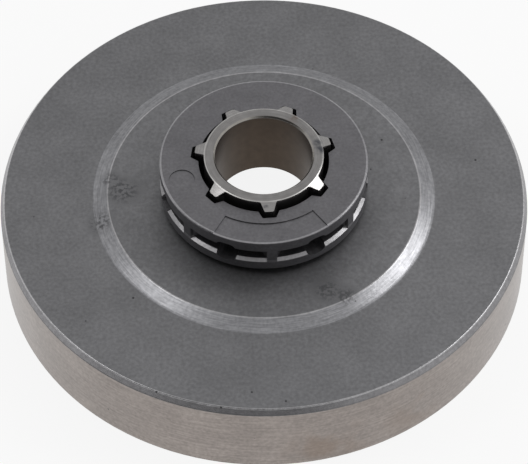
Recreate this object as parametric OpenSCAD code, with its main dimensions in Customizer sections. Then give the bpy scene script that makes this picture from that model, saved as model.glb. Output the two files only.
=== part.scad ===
// Clutch drum of a chainsaw: a pressed and turned steel cup, a splined hub joined
// into its web, and a loose rim sprocket that floats on the hub's splines.
// Millimetres, +Z up on the axis of rotation. The cup's mouth stands on Z = 0 and
// one hub spline points along -Y.

/* [Drum cup] */
// Outside diameter of the cup
drum_d = 82; // [70:0.5:95]
// Height of the flat outer part of the face above the mouth
face_z = 14.3; // [12:0.1:20]
// Diameter of the ground track that the clutch shoes press on
track_d = 76.2; // [66:0.1:78]
// Thickness of the sheet that the web is pressed from
web_t = 2.8; // [2:0.1:4]
// Diameter of the raised middle of the face
plateau_d = 48.7; // [40:0.2:54]
// Height of the raised middle above the outer face
step_h = 0.9; // [0.5:0.1:2]
// Width of the slope round the raised middle
slope_w = 2.1; // [1:0.1:4]
// Width of the bevel on the outer top edge
edge_bevel_w = 0.6; // [0.2:0.05:1]
// Height of the bevel on the outer top edge
edge_bevel_h = 1.1; // [0.5:0.1:2.5]

/* [Splined hub] */
// Bore for the needle cage on the crankshaft
bore_d = 15; // [12:0.1:16]
// Length of the hub, end face to end face
hub_len = 12.7; // [11:0.1:16]
// Height of the hub's upper end face above the mouth
hub_top = 24.3; // [22:0.1:28]
// Diameter of the hub between its splines
ring_d = 18.4; // [17.6:0.1:19]
// Diameter over the splines
spline_d = 21.3; // [20.4:0.1:21.8]
// Width of a spline where it leaves the hub
spline_root_w = 2.4; // [2:0.1:2.8]
// Width of a spline at its tip
spline_tip_w = 1.4; // [1:0.1:1.8]
// Drop of the sloped spline ends, hub face to tip
spline_end_drop = 0.6; // [0.2:0.1:1.2]
// Number of splines, and of sprocket teeth
teeth = 7; // [7]

/* [Rim sprocket] */
// Outside diameter of the two rails that carry the chain
rim_d = 32.1; // [31:0.1:34]
// Height of the rim, rail face to rail face
rim_h = 6.55; // [6:0.05:8]
// Diameter of the rim's bore between its spline notches
rim_bore_d = 20.1; // [19.6:0.1:20.6]
// Diameter over the spline notches
notch_d = 22.5; // [22.2:0.1:23.2]
// Width of a notch where it opens into the bore
notch_mouth_w = 3.1; // [2.8:0.1:3.4]
// Width of a notch at its bottom
notch_floor_w = 2.1; // [1.8:0.1:2.4]
// Thickness of the upper rail
upper_rail_t = 2.1; // [2:0.05:3]
// Width of the chain slot at the rim's outside, between its flared edges
slot_w = 2.6; // [2.5:0.05:3]
// Depth of the flare along both edges of the slot
flare_d = 0.55; // [0.3:0.05:1]
// Width of the slot inside its flare, where the drive links run
gullet_w = 2.0; // [1.6:0.05:2.4]
// Width of a tooth at the rim's outside
tooth_w = 1.55; // [1.2:0.05:2.2]
// Width of the chip opening in the middle of each gullet
chip_w = 3.3; // [2.8:0.1:4.5]
// Height of the chip opening
chip_h = 3.85; // [3:0.05:4]
// Diameter at the bottom of the gullets
gullet_floor_d = 23.4; // [23:0.1:25]

/* [Hidden] */

$fn = 96;
eps = 0.01;
// Points on each rounded corner of an outline
arc_steps = 4;

drum_r = drum_d / 2;
track_r = track_d / 2;
plateau_z = face_z + step_h;
plateau_r = plateau_d / 2;
mouth_chamfer = 0.3;
mouth_lead_in = 0.5;

bore_r = bore_d / 2;
ring_r = ring_d / 2;
spline_r = spline_d / 2;
hub_bottom = hub_top - hub_len;
socket_r = 12;
shoulder_r = 13.4;
shoulder_t = 1.2;
bore_chamfer = 0.25;
ring_chamfer = 0.15;
root_fillet = 0.5;
tip_rounding = 0.3;

rim_r = rim_d / 2;
rim_bore_r = rim_bore_d / 2;
notch_r = notch_d / 2;
rim_bottom = plateau_z + shoulder_t;
rim_top = rim_bottom + rim_h;
rim_rounding = 0.3;
slot_top = rim_top - upper_rail_t;
slot_bottom = slot_top - slot_w;
slot_z = (slot_top + slot_bottom) / 2;
flare_r = rim_r - flare_d;
gullet_floor_r = gullet_floor_d / 2;
gullet_floor_w = 4.0;
gullet_rounding = 0.8;
chip_rounding = 1.1;
// Step from the gullet's floor out to the start of the chip opening
chip_start = 0.5;
pitch_angle = 360 / teeth;

// Sunken field and round mark on the rim's upper face, both left plain
field_r = 12.25;
field_half_angle = 33;
field_depth = 0.2;
mark_r = 13.1;
mark_angle = -77.5;
mark_d = 4;
mark_depth = 0.15;

function unit(v) = v / norm(v);
function half_turn(a) = a > 180 ? a - 360 : a < -180 ? a + 360 : a;

// Corner b between a and c, rounded with radius r
function corner_arc(a, b, c, r) =
    r == 0 ? [b] :
    let (u = unit(a - b), w = unit(c - b),
         half = acos(u * w) / 2,
         centre = b + unit(u + w) * r / sin(half),
         p = b + u * r / tan(half) - centre,
         q = b + w * r / tan(half) - centre,
         start = atan2(p.y, p.x),
         turn = half_turn(atan2(q.y, q.x) - start))
    [for (i = [0:arc_steps])
        centre + r * [cos(start + turn * i / arc_steps), sin(start + turn * i / arc_steps)]];

// Closed outline from corners given as [x, y, rounding]
function outline(corners) =
    let (n = len(corners))
    [for (i = [0:n - 1])
        let (a = corners[(i + n - 1) % n], b = corners[i], c = corners[(i + 1) % n])
        each corner_arc([a.x, a.y], [b.x, b.y], [c.x, c.y], b.z)];

// Cup: one revolved section with an even web that follows the raised middle
module drum() {
    color("#7d7d7c")
    rotate_extrude($fn = 180)
    polygon(outline([
        [drum_r - mouth_chamfer, 0, 0],
        [drum_r, mouth_chamfer, 0],
        [drum_r, face_z - edge_bevel_h, 0.2],
        [drum_r - edge_bevel_w, face_z, 0.15],
        [plateau_r + slope_w, face_z, 2],
        [plateau_r, plateau_z, 0.2],
        [socket_r, plateau_z, 0],
        [socket_r, plateau_z - web_t, 0.3],
        [plateau_r - step_h, plateau_z - web_t, 1.5],
        [plateau_r + slope_w - step_h, face_z - web_t, 0.5],
        [track_r, face_z - web_t, 1.6],
        [track_r, mouth_lead_in, 0],
        [track_r + mouth_lead_in, 0, 0]
    ]));
}

// Fillet between a spline that points along +Y and the ring, right side: an arc
// that is tangent to the flank and to a circle just under the ring's surface
function spline_flank() =
    let (blend_r = ring_r - 0.03,
         root = [spline_root_w / 2, ring_r],
         tip = [spline_tip_w / 2, spline_r],
         along = unit(tip - root),
         out = [along.y, -along.x],
         base = root + out * root_fillet,
         b = base * along,
         slide = -b + sqrt(b * b - base * base + (blend_r + root_fillet) ^ 2),
         centre = base + along * slide,
         on_ring = -unit(centre) * root_fillet,
         start = atan2(on_ring.y, on_ring.x),
         turn = half_turn(atan2(-out.y, -out.x) - start))
    [for (i = [0:arc_steps])
        centre + root_fillet * [cos(start + turn * i / arc_steps),
                                sin(start + turn * i / arc_steps)]];

module spline_section() {
    fillet = spline_flank();
    tip = [spline_tip_w / 2, spline_r];
    right = concat(
        [[fillet[0].x, ring_r - 0.6]],
        fillet,
        corner_arc(fillet[arc_steps], tip, [0, spline_r], tip_rounding));
    left = [for (i = [len(right) - 1:-1:0]) [-right[i].x, right[i].y]];
    polygon(concat(right, left));
}

// Outer form of the splined length: sloped ends, and a small break on the ring's edge
module hub_envelope() {
    slope_start = ring_r - ring_chamfer;
    slope = spline_end_drop / (spline_r - slope_start);
    reach = spline_r + 0.5;
    rotate_extrude()
    polygon([
        [0, rim_bottom - shoulder_t / 2],
        [reach, rim_bottom - shoulder_t / 2],
        [reach, hub_top - slope * (reach - slope_start)],
        [slope_start, hub_top],
        [0, hub_top]
    ]);
}

module splined_hub() {
    color("#a3a19e")
    difference() {
        union() {
            rotate_extrude()
            polygon([
                [0, hub_bottom],
                [socket_r - bore_chamfer, hub_bottom],
                [socket_r, hub_bottom + bore_chamfer],
                [socket_r, plateau_z],
                [shoulder_r, plateau_z],
                [shoulder_r, rim_bottom],
                [0, rim_bottom]
            ]);
            intersection() {
                hub_envelope();
                union() {
                    cylinder(h = hub_top + 1, r = ring_r);
                    for (i = [0:teeth - 1])
                        rotate([0, 0, 180 + i * pitch_angle])
                        linear_extrude(hub_top + 1)
                        spline_section();
                }
            }
        }
        translate([0, 0, hub_bottom - 1])
        cylinder(h = hub_len + 2, r = bore_r);
        translate([0, 0, hub_top - bore_chamfer])
        cylinder(h = bore_chamfer + eps, r1 = bore_r, r2 = bore_r + bore_chamfer + eps);
        translate([0, 0, hub_bottom - eps])
        cylinder(h = bore_chamfer + eps, r1 = bore_r + bore_chamfer + eps, r2 = bore_r);
    }
}

// Body of the rim with its bore, outer edges rounded top and bottom
module rim_blank() {
    rotate_extrude($fn = 120)
    polygon(outline([
        [rim_bore_r, rim_bottom, 0],
        [rim_r, rim_bottom, rim_rounding],
        [rim_r, rim_top, rim_rounding],
        [rim_bore_r, rim_top, 0]
    ]));
}

// One internal notch that clears a hub spline, pointing along +Y
module notch_section() {
    inside = rim_bore_r - 0.6;
    slope = (notch_mouth_w - notch_floor_w) / 2 / (notch_r - rim_bore_r);
    inside_w = notch_mouth_w / 2 + slope * (rim_bore_r - inside);
    polygon(outline([
        [-inside_w, inside, 0],
        [inside_w, inside, 0],
        [notch_floor_w / 2, notch_r, 0.25],
        [-notch_floor_w / 2, notch_r, 0.25]
    ]));
}

// The chain's slot as turned into a full rim: even sides that flare at the outside
module slot_ring() {
    half_w = gullet_w / 2;
    reach = 1;
    reach_half_w = half_w + (slot_w / 2 - half_w) * (flare_d + reach) / flare_d;
    rotate_extrude($fn = 120)
    polygon([
        [gullet_floor_r / 2, slot_z - half_w],
        [flare_r, slot_z - half_w],
        [rim_r + reach, slot_z - reach_half_w],
        [rim_r + reach, slot_z + reach_half_w],
        [flare_r, slot_z + half_w],
        [gullet_floor_r / 2, slot_z + half_w]
    ]);
}

// Gullet between two teeth, pointing along +Y, narrow at its floor; outside the
// shoulders it runs straight out beside the teeth
module gullet_section() {
    edge_angle = pitch_angle / 2 - asin(tooth_w / 2 / flare_r);
    shoulder = flare_r * [sin(edge_angle), cos(edge_angle)];
    floor_corner = [gullet_floor_w / 2, gullet_floor_r];
    far = shoulder + 3 * [sin(pitch_angle / 2), cos(pitch_angle / 2)];
    polygon(outline([
        [-floor_corner.x, floor_corner.y, gullet_rounding],
        [floor_corner.x, floor_corner.y, gullet_rounding],
        [shoulder.x, shoulder.y, 0],
        [far.x, far.y, 0],
        [-far.x, far.y, 0],
        [-shoulder.x, shoulder.y, 0]
    ]));
}

// Opening that lets chips out of a gullet: flat above and below, rounded corners
module chip_section() {
    polygon(outline([
        [-chip_w / 2, -chip_h / 2, chip_rounding],
        [chip_w / 2, -chip_h / 2, chip_rounding],
        [chip_w / 2, chip_h / 2, chip_rounding],
        [-chip_w / 2, chip_h / 2, chip_rounding]
    ]));
}

module rim_sprocket() {
    color("#5f5e60")
    difference() {
        rim_blank();
        for (i = [0:teeth - 1])
            rotate([0, 0, 180 + i * pitch_angle])
            translate([0, 0, rim_bottom - 1])
            linear_extrude(rim_h + 2)
            notch_section();
        for (i = [0:teeth - 1])
            rotate([0, 0, 180 + (i + 0.5) * pitch_angle]) {
                intersection() {
                    slot_ring();
                    translate([0, 0, rim_bottom - 1])
                    linear_extrude(rim_h + 2)
                    gullet_section();
                }
                translate([0, gullet_floor_r + chip_start, slot_z])
                rotate([-90, 0, 0])
                linear_extrude(rim_r)
                chip_section();
            }
        number_field();
        rotate([0, 0, mark_angle])
        translate([0, -mark_r, rim_top - mark_depth])
        cylinder(h = 1, d = mark_d, $fn = 48);
    }
}

// Plain sunken field on the upper face, open at the rim's outside
module number_field() {
    far = 2 * rim_r;
    translate([0, 0, rim_top - field_depth])
    linear_extrude(1)
    difference() {
        polygon([
            [0, 0],
            far * [-sin(field_half_angle), -cos(field_half_angle)],
            far * [sin(field_half_angle), -cos(field_half_angle)]
        ]);
        circle(r = field_r);
    }
}

drum();
splined_hub();
rim_sprocket();
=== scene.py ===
import math

import bpy
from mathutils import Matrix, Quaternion, Vector

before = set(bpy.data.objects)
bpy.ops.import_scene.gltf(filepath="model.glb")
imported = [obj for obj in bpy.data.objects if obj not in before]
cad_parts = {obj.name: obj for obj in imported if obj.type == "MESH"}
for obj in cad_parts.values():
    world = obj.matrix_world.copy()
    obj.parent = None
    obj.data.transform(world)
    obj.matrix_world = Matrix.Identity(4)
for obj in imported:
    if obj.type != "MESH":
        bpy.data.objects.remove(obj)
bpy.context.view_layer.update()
scene = bpy.context.scene
mm = 0.001
print("frame loaded:", ", ".join(sorted(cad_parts)))


def linearColour(hexColour):
    # sRGB hex to the linear colour that shaders work in
    parts = [int(hexColour[i:i + 2], 16) / 255 for i in (1, 3, 5)]
    return [p / 12.92 if p <= 0.04045 else ((p + 0.055) / 1.055) ** 2.4 for p in parts] + [1.0]


def addNode(tree, kind, inputs=None, **settings):
    # a node with its settings; an input takes a value, a socket, or a node's first output in use
    node = tree.nodes.new(kind)
    for name, value in settings.items():
        setattr(node, name, value)
    for key, value in (inputs or {}).items():
        if isinstance(key, int):
            socket = node.inputs[key]
        else:
            socket = next(s for s in node.inputs if s.enabled and s.name == key)
        if isinstance(value, bpy.types.Node):
            value = next(s for s in value.outputs if s.enabled)
        if isinstance(value, bpy.types.NodeSocket):
            tree.links.new(value, socket)
        else:
            socket.default_value = value
    return node


def newMaterial(name):
    material = bpy.data.materials.new(name)
    material.use_nodes = True
    material.node_tree.nodes.clear()
    return material, material.node_tree


def cylinderCoordinates(tree):
    # the piece's own place in mm, its parts, and its distance from the axis
    place = addNode(tree, "ShaderNodeTexCoord").outputs["Object"]
    inMm = addNode(tree, "ShaderNodeVectorMath", {0: place, "Scale": 1 / mm}, operation="SCALE")
    x, y, z = addNode(tree, "ShaderNodeSeparateXYZ", {0: inMm}).outputs
    flat = addNode(tree, "ShaderNodeCombineXYZ", {"X": x, "Y": y})
    radius = addNode(tree, "ShaderNodeVectorMath", {0: flat}, operation="LENGTH").outputs["Value"]
    return inMm.outputs[0], (x, y, z), radius


def band(tree, value, low, high, soft):
    # 1 between low and high, 0 outside, with soft edges
    rising = addNode(tree, "ShaderNodeMapRange",
                     {"Value": value, "From Min": low - soft, "From Max": low + soft},
                     interpolation_type="SMOOTHSTEP")
    falling = addNode(tree, "ShaderNodeMapRange",
                      {"Value": value, "From Min": high + soft, "From Max": high - soft},
                      interpolation_type="SMOOTHSTEP")
    return addNode(tree, "ShaderNodeMath", {0: rising, 1: falling}, operation="MULTIPLY")


def zone(tree, radius, height, ring):
    # a ring-shaped zone: between two radii and between two heights
    inner, outer, low, high = ring
    across = band(tree, radius, inner, outer, 0.04)
    up = band(tree, height, low, high, 0.04)
    return addNode(tree, "ShaderNodeMath", {0: across, 1: up}, operation="MULTIPLY")


def toolMarks(tree, parts, across, spacing, length):
    # noise drawn out round the axis: marks a spacing apart that run on for about a length
    along = addNode(tree, "ShaderNodeCombineXYZ", {"X": parts[0], "Y": parts[1]})
    along = addNode(tree, "ShaderNodeVectorMath", {0: along, "Scale": 1 / length}, operation="SCALE")
    lifted = addNode(tree, "ShaderNodeMath", {0: across, 1: 1 / spacing}, operation="MULTIPLY")
    lifted = addNode(tree, "ShaderNodeCombineXYZ", {"Z": lifted})
    place = addNode(tree, "ShaderNodeVectorMath", {0: along, 1: lifted}, operation="ADD")
    return addNode(tree, "ShaderNodeTexNoise", {"Vector": place, "Scale": 1.0, "Detail": 3.0})


def pits(tree, place, spacing, size, share):
    # small round pits: one in some of the cells of a pattern, 1 at a pit and 0 beside it
    cells = addNode(tree, "ShaderNodeTexVoronoi", {"Vector": place, "Scale": 1 / spacing})
    chosen = addNode(tree, "ShaderNodeSeparateXYZ", {0: cells.outputs["Color"]})
    chosen = addNode(tree, "ShaderNodeMath", {0: chosen, 1: share}, operation="LESS_THAN")
    near = addNode(tree, "ShaderNodeMapRange",
                   {"Value": cells, "From Min": size / spacing, "From Max": 0.5 * size / spacing},
                   interpolation_type="SMOOTHSTEP")
    return addNode(tree, "ShaderNodeMath", {0: near, 1: chosen}, operation="MULTIPLY")


def marks(tree, place, spots, breakup):
    # stains and smudges: each is a place in mm, a size and a strength, broken up by a noise
    total = None
    for x, y, z, size, strength in spots:
        away = addNode(tree, "ShaderNodeVectorMath", {0: place, 1: (x, y, z)}, operation="DISTANCE")
        spot = addNode(tree, "ShaderNodeMapRange",
                       {"Value": away.outputs["Value"], "From Min": size, "From Max": 0.2 * size,
                        "To Max": strength}, interpolation_type="SMOOTHSTEP")
        total = spot if total is None else addNode(tree, "ShaderNodeMath", {0: total, 1: spot},
                                                   operation="MAXIMUM")
    broken = addNode(tree, "ShaderNodeMapRange",
                     {"Value": breakup, "From Min": 0.42, "From Max": 0.6})
    return addNode(tree, "ShaderNodeMath", {0: total, 1: broken}, operation="MULTIPLY")


drumFinish = {
    "face": ("#828284", 0.50),
    "zones": {  # inner and outer radius, low and high (mm), colour, roughness
        "slope": ((24.35, 26.6, 14.2, 15.3), "#97979a", 0.33),
        # plateauEdgePaintedHighlight and faceEdgePaintedHighlight: the thin lighter bands along these
        # two edges are painted highlights
        "plateauEdgePaintedHighlight": ((24.2, 24.42, 15.0, 15.3), "#b4b3b5", 0.30),
        "faceEdgePaintedHighlight": ((40.30, 40.48, 14.1, 14.4), "#bdbcbe", 0.26),
        "bevel": ((40.48, 40.94, 13.0, 14.2), "#8b8a8c", 0.26),
        "wall": ((40.94, 42.0, -1.0, 13.2), "#938b86", 0.30),
        "track": ((37.9, 38.3, -1.0, 10.2), "#8f8a86", 0.28),
    },
    "grit": 0.55,
    "gritDepth": 0.012,
    "smudges": ((-21.9, 1.9, 15.2, 4.0, 0.9), (-23.5, 4.2, 14.9, 2.5, 0.8),
                (-25.6, -3.6, 14.5, 3.0, 0.9), (8.1, -19.9, 15.2, 3.2, 0.8),
                (10.7, -21.1, 15.2, 2.8, 0.8)),
    "smudge": "#58585a",
    "stains": ((6.9, -40.4, 3.5, 9.0, 0.5), (20.0, -35.8, 6.0, 8.0, 0.35)),
    "stain": "#7d6c5e",
}


def blastedAndGroundSteel():
    # Case-hardened sheet steel, shot-blasted on the face and ground on the wall: a dull,
    # finely gritty grey on top, soft circular streaks outside, and painted edge highlights
    material, tree = newMaterial("blasted_and_ground_steel")
    place, parts, radius = cylinderCoordinates(tree)
    height = parts[2]
    grit = addNode(tree, "ShaderNodeTexNoise",
                   {"Vector": place, "Scale": 1 / drumFinish["grit"], "Detail": 3.0})
    mottle = addNode(tree, "ShaderNodeTexNoise", {"Vector": place, "Scale": 1 / 6, "Detail": 3.0})
    masks = {name: zone(tree, radius, height, ring)
             for name, (ring, colour, roughness) in drumFinish["zones"].items()}

    faceColour, faceRoughness = drumFinish["face"]
    colour, roughness = linearColour(faceColour), faceRoughness
    for name, (ring, zoneColour, zoneRoughness) in drumFinish["zones"].items():
        colour = addNode(tree, "ShaderNodeMix", {"Factor": masks[name], "A": colour,
                                                 "B": linearColour(zoneColour)}, data_type="RGBA")
        roughness = addNode(tree, "ShaderNodeMix", {"Factor": masks[name], "A": roughness,
                                                    "B": zoneRoughness})

    # cloudy, gritty shading of the whole skin
    for pattern, low, high in ((grit, 0.86, 1.14), (mottle, 0.93, 1.07)):
        shade = addNode(tree, "ShaderNodeMapRange", {"Value": pattern, "From Min": 0.3, "From Max": 0.7,
                                                     "To Min": low, "To Max": high})
        colour = addNode(tree, "ShaderNodeVectorMath", {0: colour, "Scale": shade}, operation="SCALE")

    # grinding and rubbing leave fine lines round the axis
    wallLines = toolMarks(tree, parts, height, 0.22, 7)
    slopeLines = toolMarks(tree, parts, radius, 0.16, 3)
    onWall = addNode(tree, "ShaderNodeMath", {0: masks["wall"], 1: masks["track"]}, operation="ADD")
    for lines, mask, low, high in ((wallLines, onWall, 0.86, 1.14),
                                   (slopeLines, masks["slope"], 0.8, 1.2)):
        shade = addNode(tree, "ShaderNodeMapRange", {"Value": lines, "From Min": 0.3, "From Max": 0.7,
                                                     "To Min": low, "To Max": high})
        shade = addNode(tree, "ShaderNodeMix", {"Factor": mask, "A": 1.0, "B": shade})
        colour = addNode(tree, "ShaderNodeVectorMath", {0: colour, "Scale": shade}, operation="SCALE")

    # small dark pits, dark smudges from handling, and a brown stain low on the wall
    pitMask = pits(tree, place, 2.4, 0.24, 0.12)
    smudgeMask = marks(tree, place, drumFinish["smudges"], grit)
    stainMask = marks(tree, place, drumFinish["stains"], mottle)
    for mask, tint in ((smudgeMask, drumFinish["smudge"]), (stainMask, drumFinish["stain"]),
                       (pitMask, "#4a494a")):
        colour = addNode(tree, "ShaderNodeMix", {"Factor": mask, "A": colour,
                                                 "B": linearColour(tint)}, data_type="RGBA")

    # heights in mm: grit where nothing has been ground, lines where it has
    ground = addNode(tree, "ShaderNodeMath", {0: onWall, 1: masks["bevel"]}, operation="MAXIMUM")
    blasted = addNode(tree, "ShaderNodeMapRange",
                      {"Value": ground, "To Min": drumFinish["gritDepth"], "To Max": 0.001})
    depth = addNode(tree, "ShaderNodeMath", {0: grit, 1: blasted}, operation="MULTIPLY")
    for lines, mask, size in ((wallLines, onWall, 0.004), (slopeLines, masks["slope"], 0.004)):
        line = addNode(tree, "ShaderNodeMath", {0: lines, 1: mask}, operation="MULTIPLY")
        depth = addNode(tree, "ShaderNodeMath", {0: line, 1: size, 2: depth}, operation="MULTIPLY_ADD")
    relief = addNode(tree, "ShaderNodeBump", {"Height": depth, "Strength": 1.0, "Distance": mm})
    shader = addNode(tree, "ShaderNodeBsdfPrincipled",
                     {"Base Color": colour, "Metallic": 1.0, "Roughness": roughness, "Normal": relief})
    addNode(tree, "ShaderNodeOutputMaterial", {"Surface": shader})
    return material


hubFinish = {
    "body": ("#8e8c8c", 0.36),
    "zones": {
        "endFace": ((7.7, 9.02, 24.2, 24.4), "#949291", 0.34),
        # ringEdgePaintedHighlight, splineEndsPaintedHighlight and boreEdgePaintedHighlight: the lighter
        # ring edge, spline-end facets and bore edge are painted highlights
        "ringEdgePaintedHighlight": ((9.02, 9.24, 24.1, 24.4), "#c4c2c0", 0.25),
        "splineEndsPaintedHighlight": ((9.24, 10.8, 23.4, 24.4), "#a5a3a2", 0.24),
        "boreEdgePaintedHighlight": ((7.52, 7.76, 24.0, 24.3), "#b0aca6", 0.25),
        "bore": ((7.0, 7.56, 11.0, 24.02), "#4b4138", 0.42),
    },
    "smudges": ((8.6, 0.3, 24.3, 1.3, 0.9), (8.4, 1.7, 24.3, 1.1, 0.8), (-0.5, -9.8, 23.9, 0.7, 0.7)),
    "smudge": "#4c4e54",
    "stains": ((5.4, 6.9, 24.3, 1.6, 0.8),),
    "stain": "#6b5648",
}


def turnedSteel():
    # Turned and hardened bar steel: fine rings from the lathe on the end face, painted
    # highlights on the corners and spline ends, and a bore coloured dark brown
    material, tree = newMaterial("turned_steel")
    place, parts, radius = cylinderCoordinates(tree)
    height = parts[2]
    colour, roughness = linearColour(hubFinish["body"][0]), hubFinish["body"][1]
    for ring, zoneColour, zoneRoughness in hubFinish["zones"].values():
        mask = zone(tree, radius, height, ring)
        colour = addNode(tree, "ShaderNodeMix", {"Factor": mask, "A": colour,
                                                 "B": linearColour(zoneColour)}, data_type="RGBA")
        roughness = addNode(tree, "ShaderNodeMix", {"Factor": mask, "A": roughness,
                                                    "B": zoneRoughness})
    rings = toolMarks(tree, parts, radius, 0.14, 5)
    mottle = addNode(tree, "ShaderNodeTexNoise", {"Vector": place, "Scale": 1 / 1.2, "Detail": 3.0})
    for pattern, low, high in ((rings, 0.85, 1.15), (mottle, 0.9, 1.1)):
        shade = addNode(tree, "ShaderNodeMapRange", {"Value": pattern, "From Min": 0.3, "From Max": 0.7,
                                                     "To Min": low, "To Max": high})
        colour = addNode(tree, "ShaderNodeVectorMath", {0: colour, "Scale": shade}, operation="SCALE")
    for spots, tint in ((hubFinish["smudges"], hubFinish["smudge"]),
                        (hubFinish["stains"], hubFinish["stain"])):
        mask = marks(tree, place, spots, mottle)
        colour = addNode(tree, "ShaderNodeMix", {"Factor": mask, "A": colour,
                                                 "B": linearColour(tint)}, data_type="RGBA")
    depth = addNode(tree, "ShaderNodeMath", {0: rings, 1: 0.003}, operation="MULTIPLY")
    relief = addNode(tree, "ShaderNodeBump", {"Height": depth, "Strength": 1.0, "Distance": mm})
    shader = addNode(tree, "ShaderNodeBsdfPrincipled",
                     {"Base Color": colour, "Metallic": 1.0, "Roughness": roughness, "Normal": relief})
    addNode(tree, "ShaderNodeOutputMaterial", {"Surface": shader})
    return material


rimFinish = {
    "body": ("#7a797c", 0.48),
    "zones": {
        # topEdgePaintedHighlight and slotFlarePaintedHighlight: the lighter top outer edge and lower
        # slot lips are painted highlights
        "topEdgePaintedHighlight": ((15.72, 16.2, 22.6, 23.0), "#a3a2a5", 0.30),
        "slotFlarePaintedHighlight": ((15.4, 16.2, 18.1, 18.7), "#9d9c9e", 0.34),
    },
    "grit": 0.45,
    "gritDepth": 0.010,
}


def hardenedSteel():
    # Precision-cast, hardened steel with a dark skin: even fine grit, and painted highlights
    # on the top outer edge and the lower slot lips
    material, tree = newMaterial("hardened_steel")
    place, parts, radius = cylinderCoordinates(tree)
    colour, roughness = linearColour(rimFinish["body"][0]), rimFinish["body"][1]
    for ring, zoneColour, zoneRoughness in rimFinish["zones"].values():
        mask = zone(tree, radius, parts[2], ring)
        colour = addNode(tree, "ShaderNodeMix", {"Factor": mask, "A": colour,
                                                 "B": linearColour(zoneColour)}, data_type="RGBA")
        roughness = addNode(tree, "ShaderNodeMix", {"Factor": mask, "A": roughness,
                                                    "B": zoneRoughness})
    grit = addNode(tree, "ShaderNodeTexNoise",
                   {"Vector": place, "Scale": 1 / rimFinish["grit"], "Detail": 3.0})
    mottle = addNode(tree, "ShaderNodeTexNoise", {"Vector": place, "Scale": 1 / 3, "Detail": 3.0})
    for pattern, low, high in ((grit, 0.88, 1.12), (mottle, 0.93, 1.07)):
        shade = addNode(tree, "ShaderNodeMapRange", {"Value": pattern, "From Min": 0.3, "From Max": 0.7,
                                                     "To Min": low, "To Max": high})
        colour = addNode(tree, "ShaderNodeVectorMath", {0: colour, "Scale": shade}, operation="SCALE")
    depth = addNode(tree, "ShaderNodeMath", {0: grit, 1: rimFinish["gritDepth"]}, operation="MULTIPLY")
    relief = addNode(tree, "ShaderNodeBump", {"Height": depth, "Strength": 1.0, "Distance": mm})
    shader = addNode(tree, "ShaderNodeBsdfPrincipled",
                     {"Base Color": colour, "Metallic": 1.0, "Roughness": roughness, "Normal": relief})
    addNode(tree, "ShaderNodeOutputMaterial", {"Surface": shader})
    return material


finishes = {
    "drum": blastedAndGroundSteel(),
    "splined_hub": turnedSteel(),
    "rim_sprocket": hardenedSteel(),
}
for name, material in finishes.items():
    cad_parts[name].data.materials[0] = material
print("finishes set")


# The camera looks at a point on the axis, from the photograph's distance and height
cameraView = {
    "focalPixels": 3400,
    "imageWidth": 528,
    "distance": 540.4 * mm,
    "elevation": 52.73,
    "turn": 4.4,
    "aimHeight": 4.87 * mm,
    "roll": -0.19,
}


def placeOnSphere(turn, elevation, distance):
    # turn is counted from -Y towards -X, seen from above
    a, e = math.radians(turn), math.radians(elevation)
    return Vector((-math.sin(a) * math.cos(e), -math.cos(a) * math.cos(e), math.sin(e))) * distance


def addCamera():
    data = bpy.data.cameras.new("photo_camera")
    data.sensor_fit = "HORIZONTAL"
    data.lens = cameraView["focalPixels"] / cameraView["imageWidth"] * data.sensor_width
    data.clip_start = 0.05
    data.clip_end = 20
    camera = bpy.data.objects.new("photo_camera", data)
    scene.collection.objects.link(camera)
    camera.location = placeOnSphere(cameraView["turn"], cameraView["elevation"],
                                    cameraView["distance"])
    aim = Vector((0, 0, cameraView["aimHeight"])) - camera.location
    roll = Quaternion((0, 0, 1), math.radians(cameraView["roll"]))
    camera.rotation_mode = "QUATERNION"
    camera.rotation_quaternion = aim.to_track_quat("-Z", "Y") @ roll
    scene.camera = camera


# Softboxes close to the object: turn and elevation of the place, distance and size in
# metres, and radiance, where 1 is a white sheet in plain light
softboxes = {
    "right": {"turn": -103.8, "elevation": 48.8, "distance": 0.42, "width": 0.17, "height": 0.17,
              "radiance": 3.6},
    "left": {"turn": 94.4, "elevation": 59.6, "distance": 0.42, "width": 0.13, "height": 0.13,
             "radiance": 2.0},
}


def addSoftbox(name, box):
    data = bpy.data.lights.new("softbox_" + name, "AREA")
    data.shape = "RECTANGLE"
    data.size = box["width"]
    data.size_y = box["height"]
    data.energy = box["radiance"] * math.pi * box["width"] * box["height"]
    light = bpy.data.objects.new("softbox_" + name, data)
    scene.collection.objects.link(light)
    light.location = placeOnSphere(box["turn"], box["elevation"], box["distance"])
    light.rotation_mode = "QUATERNION"
    light.rotation_quaternion = (-light.location).to_track_quat("-Z", "Y")


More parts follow.
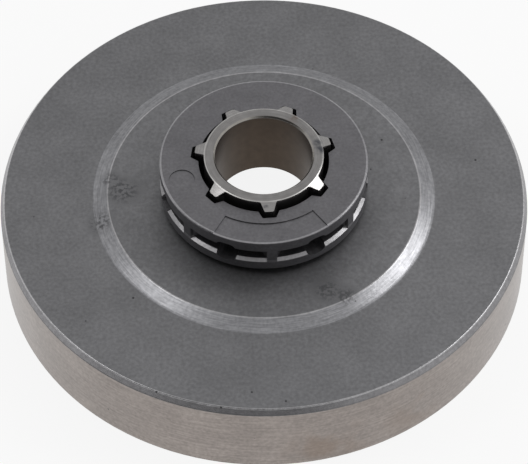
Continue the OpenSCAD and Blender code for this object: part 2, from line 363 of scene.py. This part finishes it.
def seenAsBackground(tree):
    # 1 for camera, mirror and glass rays, which see the background at its own brightness
    path = addNode(tree, "ShaderNodeLightPath")
    either = addNode(tree, "ShaderNodeMath",
                     {0: path.outputs["Is Camera Ray"], 1: path.outputs["Is Glossy Ray"]},
                     operation="MAXIMUM")
    return addNode(tree, "ShaderNodeMath", {0: either, 1: path.outputs["Is Transmission Ray"]},
                   operation="MAXIMUM"), path


def addFloor():
    bpy.ops.mesh.primitive_plane_add(size=6)
    floor = bpy.context.object
    floor.name = "studio_floor"
    material, tree = newMaterial("white_floor")
    paper = addNode(tree, "ShaderNodeBsdfDiffuse", {"Color": linearColour("#f4f4f4")})
    glow = addNode(tree, "ShaderNodeEmission", {"Strength": 1.0})
    seen, path = seenAsBackground(tree)
    share = addNode(tree, "ShaderNodeMath", {0: seen, 1: 0.88}, operation="MULTIPLY")
    shader = addNode(tree, "ShaderNodeMixShader", {0: share, 1: paper, 2: glow})
    addNode(tree, "ShaderNodeOutputMaterial", {"Surface": shader})
    floor.data.materials.append(material)


# The room round the object: a pale tent, open and dark low down where the camera stands
room = {
    "level": 0.62,
    "openingTurn": 34,
    "openingElevation": 8,
    "openingInner": 35,
    "openingOuter": 68,
    "openingLevel": 0.04,
}


def lightWorld():
    world = bpy.data.worlds.new("studio")
    scene.world = world
    world.use_nodes = True
    tree = world.node_tree
    tree.nodes.clear()
    opening = placeOnSphere(room["openingTurn"], room["openingElevation"], 1)
    direction = addNode(tree, "ShaderNodeTexCoord").outputs["Generated"]
    towards = addNode(tree, "ShaderNodeVectorMath", {0: direction, 1: opening},
                      operation="DOT_PRODUCT").outputs["Value"]
    level = addNode(tree, "ShaderNodeMapRange",
                    {"Value": towards,
                     "From Min": math.cos(math.radians(room["openingOuter"])),
                     "From Max": math.cos(math.radians(room["openingInner"])),
                     "To Min": room["level"], "To Max": room["openingLevel"]},
                    interpolation_type="SMOOTHSTEP")
    path = addNode(tree, "ShaderNodeLightPath")
    strength = addNode(tree, "ShaderNodeMix",
                       {"Factor": path.outputs["Is Camera Ray"], "A": level, "B": 1.0})
    background = addNode(tree, "ShaderNodeBackground", {"Color": (1, 1, 1, 1), "Strength": strength})
    addNode(tree, "ShaderNodeOutputWorld", {"Surface": background})


addCamera()
for name, box in softboxes.items():
    addSoftbox(name, box)
addFloor()
lightWorld()
scene.view_settings.view_transform = "Standard"
print("studio set")
